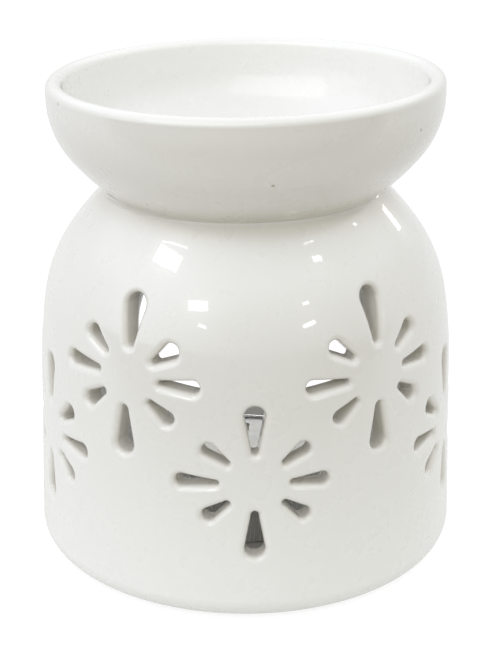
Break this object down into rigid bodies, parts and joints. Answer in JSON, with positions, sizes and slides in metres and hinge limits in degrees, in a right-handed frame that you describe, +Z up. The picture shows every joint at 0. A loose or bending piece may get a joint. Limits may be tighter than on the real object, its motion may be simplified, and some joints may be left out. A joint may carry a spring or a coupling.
{
  "type": "essential oil burner",
  "caption": "Domed glazed ceramic oil burner with flowers cut through its wall, an open arch at the back, a shallow oil dish on top and a tealight inside.",
  "frame": {"origin": "centre of the base, on the surface the burner stands on", "axes": "+Z up, -Y to the front (the flower that faces the viewer), +Y to the open arch at the back"},
  "size_m": [0.101, 0.101, 0.1147],
  "materials": {
    "glaze": "gloss white glaze",
    "cup_metal": "thin pressed foil, bright",
    "wax": "waxy, satin",
    "tab_metal": "plain tin plate",
    "wick_cotton": "waxed cotton cord"
  },
  "bodies": {
    "burner": {"burner_body": "glaze", "oil_dish": "glaze", "neck_bead": "glaze"},
    "tealight": {"tealight_cup": "cup_metal", "tealight_wax": "wax", "wick_tab": "tab_metal", "tealight_wick": "wick_cotton"}
  },
  "joints": [
    {"name": "tealight_slide", "type": "slide", "parent": "burner", "child": "tealight", "axis": [0, 0.9511, 0.309], "range_m": [0, 0.082]}
  ]
}
